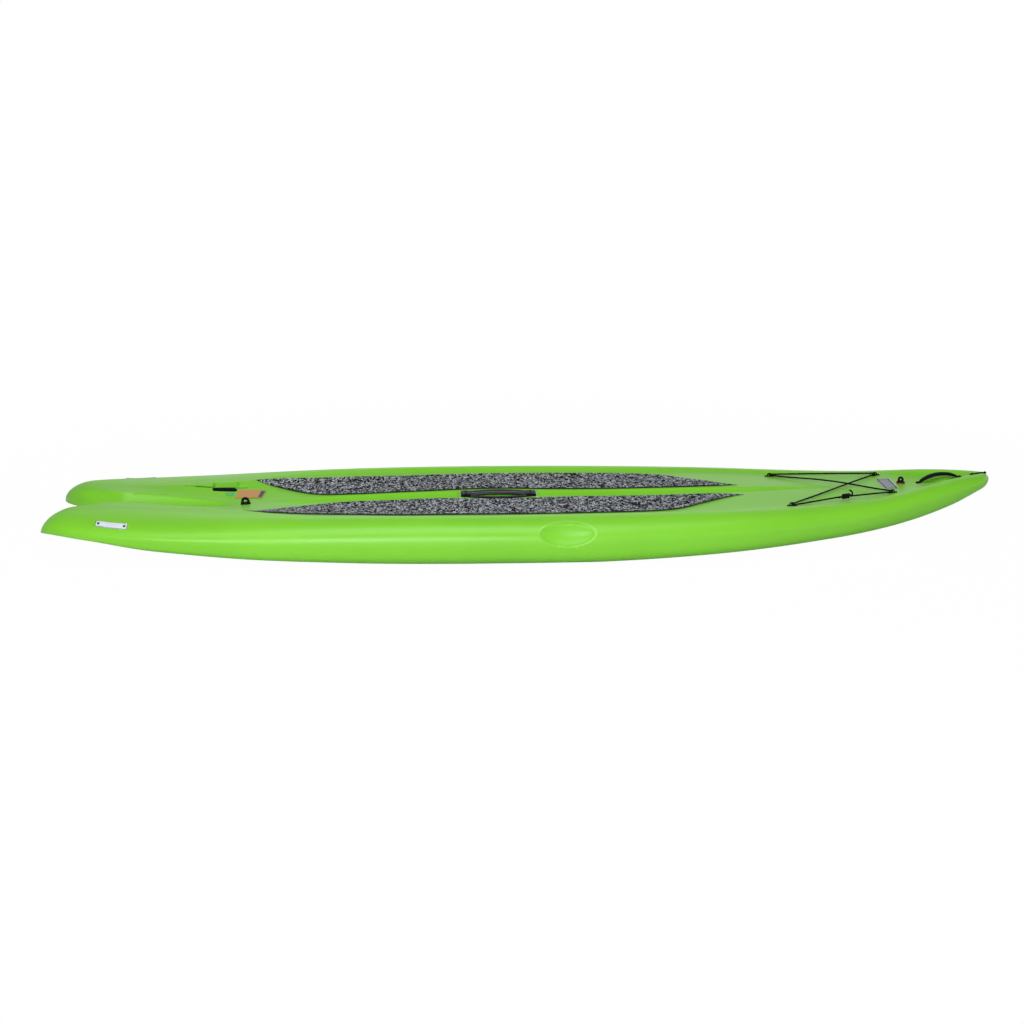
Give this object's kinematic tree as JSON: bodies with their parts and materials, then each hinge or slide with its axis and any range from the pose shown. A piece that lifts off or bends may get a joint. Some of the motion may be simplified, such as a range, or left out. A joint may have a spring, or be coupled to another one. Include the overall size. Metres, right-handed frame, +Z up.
{
  "type": "stand-up paddle board",
  "caption": "Rigid stand-up paddle board with a split tail, recessed deck and grip pads, carry handles, folding stern fins, a vent plug and a crossed deck cord.",
  "frame": {"origin": "middle of the board's length and beam, at the height of the flat of its bottom", "axes": "+X towards the bow, +Y to port, +Z up out of the deck"},
  "size_m": [2.957, 0.914, 0.1935],
  "materials": {
    "green_shell": "satin moulded polyethylene",
    "white_foam": "rigid closed-cell foam",
    "speckled_pad": "black and grey speckled foam pad",
    "black_plastic": "semi-gloss",
    "steel": "plain",
    "black_steel": "black",
    "black_cord": "woven sheath",
    "seal": "matte",
    "pale_plate": "satin",
    "grey_plate": "satin",
    "card": "kraft card",
    "tie": "matte"
  },
  "bodies": {
    "board": {"hull_shell": "green_shell", "foam_core": "white_foam", "deck_pad_port": "speckled_pad", "deck_pad_starboard": "speckled_pad", "handle_frame": "black_plastic", "handle_grip": "black_plastic", "handle_frame_screw_1": "black_steel", "handle_frame_screw_2": "black_steel", "handle_frame_screw_3": "black_steel", "handle_frame_screw_4": "black_steel", "bow_handle": "black_plastic", "bow_handle_screw_1": "black_steel", "bow_handle_screw_2": "black_steel", "bungee_cord": "black_cord", "cord_eye_rear_port": "black_plastic", "cord_eye_rear_port_screw_1": "black_steel", "cord_eye_rear_port_screw_2": "black_steel", "cord_eye_rear_starboard": "black_plastic", "cord_eye_rear_starboard_screw_1": "black_steel", "cord_eye_rear_starboard_screw_2": "black_steel", "cord_eye_front_port": "black_plastic", "cord_eye_front_port_screw_1": "black_steel", "cord_eye_front_port_screw_2": "black_steel", "cord_eye_front_starboard": "black_plastic", "cord_eye_front_starboard_screw_1": "black_steel", "cord_eye_front_starboard_screw_2": "black_steel", "leash_eye": "black_plastic", "leash_eye_screw_1": "black_steel", "leash_eye_screw_2": "black_steel", "nose_eye": "black_plastic", "nose_eye_screw_1": "black_steel", "fin_pin_port": "steel", "fin_pin_starboard": "steel", "badge_plate_port": "pale_plate", "badge_plate_starboard": "pale_plate", "badge_rivet_port_1": "black_steel", "badge_rivet_port_2": "black_steel", "badge_rivet_starboard_1": "black_steel", "badge_rivet_starboard_2": "black_steel", "bow_plate": "grey_plate", "hang_tag": "card", "tag_tie": "tie"},
    "port_fin": {"fin_port": "black_plastic"},
    "starboard_fin": {"fin_starboard": "black_plastic"},
    "vent_seal": {"vent_oring": "seal"},
    "vent": {"vent_plug": "black_plastic"}
  },
  "joints": [
    {"name": "fin_port_fold", "type": "hinge", "parent": "board", "child": "port_fin", "pos_m": [-0.92998, 0.16, 0.09832], "axis": [0, -1, 0], "range_deg": [0, 85]},
    {"name": "fin_starboard_fold", "type": "hinge", "parent": "board", "child": "starboard_fin", "pos_m": [-0.92998, -0.16, 0.09832], "axis": [0, -1, 0], "range_deg": [0, 85]},
    {"name": "vent_lift", "type": "slide", "parent": "board", "child": "vent_seal", "axis": [0, 0, 1], "range_m": [0, 0.00601]},
    {"name": "vent_turn", "type": "hinge", "parent": "vent_seal", "child": "vent", "pos_m": [1.19803, 0, 0.15], "axis": [0, 0, 1], "range_deg": [0, 1080]}
  ],
  "couplings": [
    {"joint": "vent_lift", "follows": "vent_turn", "m_per_rad": 0.00031831}
  ]
}
